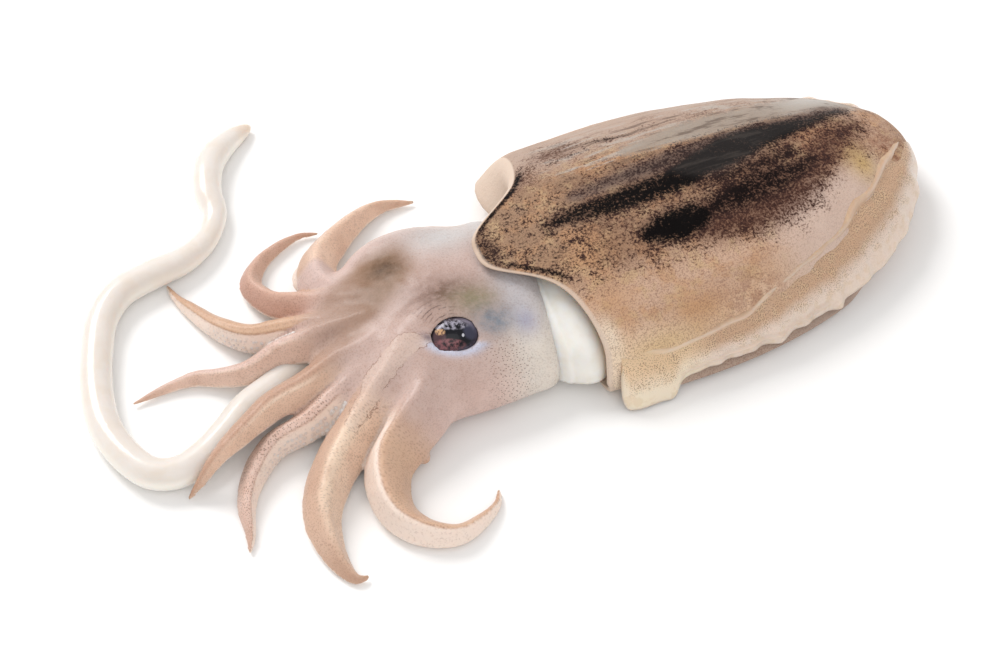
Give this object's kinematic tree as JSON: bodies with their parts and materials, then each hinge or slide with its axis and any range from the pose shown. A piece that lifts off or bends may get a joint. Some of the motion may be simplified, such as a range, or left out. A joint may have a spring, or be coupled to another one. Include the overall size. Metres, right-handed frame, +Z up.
{
  "type": "raw cuttlefish",
  "caption": "Whole raw cuttlefish lying belly down: speckled dark mantle with a wavy fin skirt, pale neck collar, head with curling arms and a long looped tentacle.",
  "frame": {"origin": "on the surface that it rests on, under the flat patch of the mantle's belly", "axes": "+X runs from the head to the tail, +Y to the animal's left, +Z up"},
  "size_m": [0.2431, 0.1624, 0.0305],
  "materials": {
    "mantle_skin": "wet speckled skin",
    "collar_muscle": "wet ivory muscle",
    "head_skin": "wet dotted skin",
    "eye": "glossy clear surface",
    "tentacle_skin": "wet ivory skin"
  },
  "bodies": {
    "root": {"mantle": "mantle_skin", "neck_collar": "collar_muscle", "head_and_arms": "head_skin", "eye_left": "eye", "eye_right": "eye", "tentacle": "tentacle_skin"}
  },
  "joints": []
}
